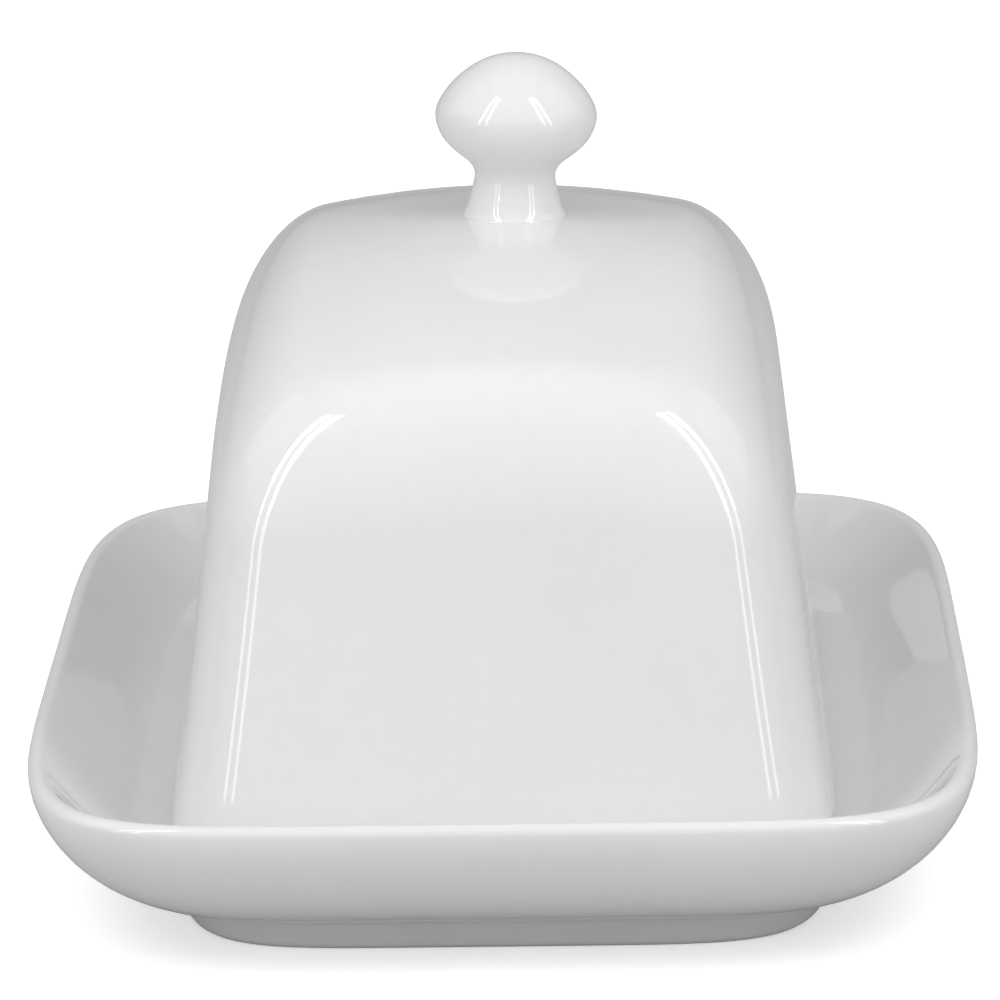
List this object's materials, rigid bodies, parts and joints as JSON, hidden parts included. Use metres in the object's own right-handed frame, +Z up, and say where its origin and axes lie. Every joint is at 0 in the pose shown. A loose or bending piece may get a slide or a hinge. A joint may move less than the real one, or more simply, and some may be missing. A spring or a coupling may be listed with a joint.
{
  "type": "butter dish",
  "caption": "Glazed white covered butter dish: a shallow footed rectangular tray with rounded corners and a domed lift-off cover with a round knob.",
  "frame": {"origin": "middle of the foot ring's underside, on the table", "axes": "+Z up, the way the cover lifts; +Y along the dish's long way; +X across it"},
  "size_m": [0.13, 0.182, 0.1086],
  "materials": {
    "dish_glaze": "clear glossy glaze over white clay, bare matt clay on the foot ring's underside",
    "cover_glaze": "clear glossy glaze over white clay, bare matt clay on the seat",
    "knob_glaze": "clear glossy glaze over white clay"
  },
  "bodies": {
    "dish": {"dish": "dish_glaze"},
    "cover": {"cover": "cover_glaze", "knob": "knob_glaze"}
  },
  "joints": [
    {"name": "cover_lift", "type": "slide", "parent": "dish", "child": "cover", "axis": [0, 0, 1], "range_m": [0, 0.12]}
  ]
}
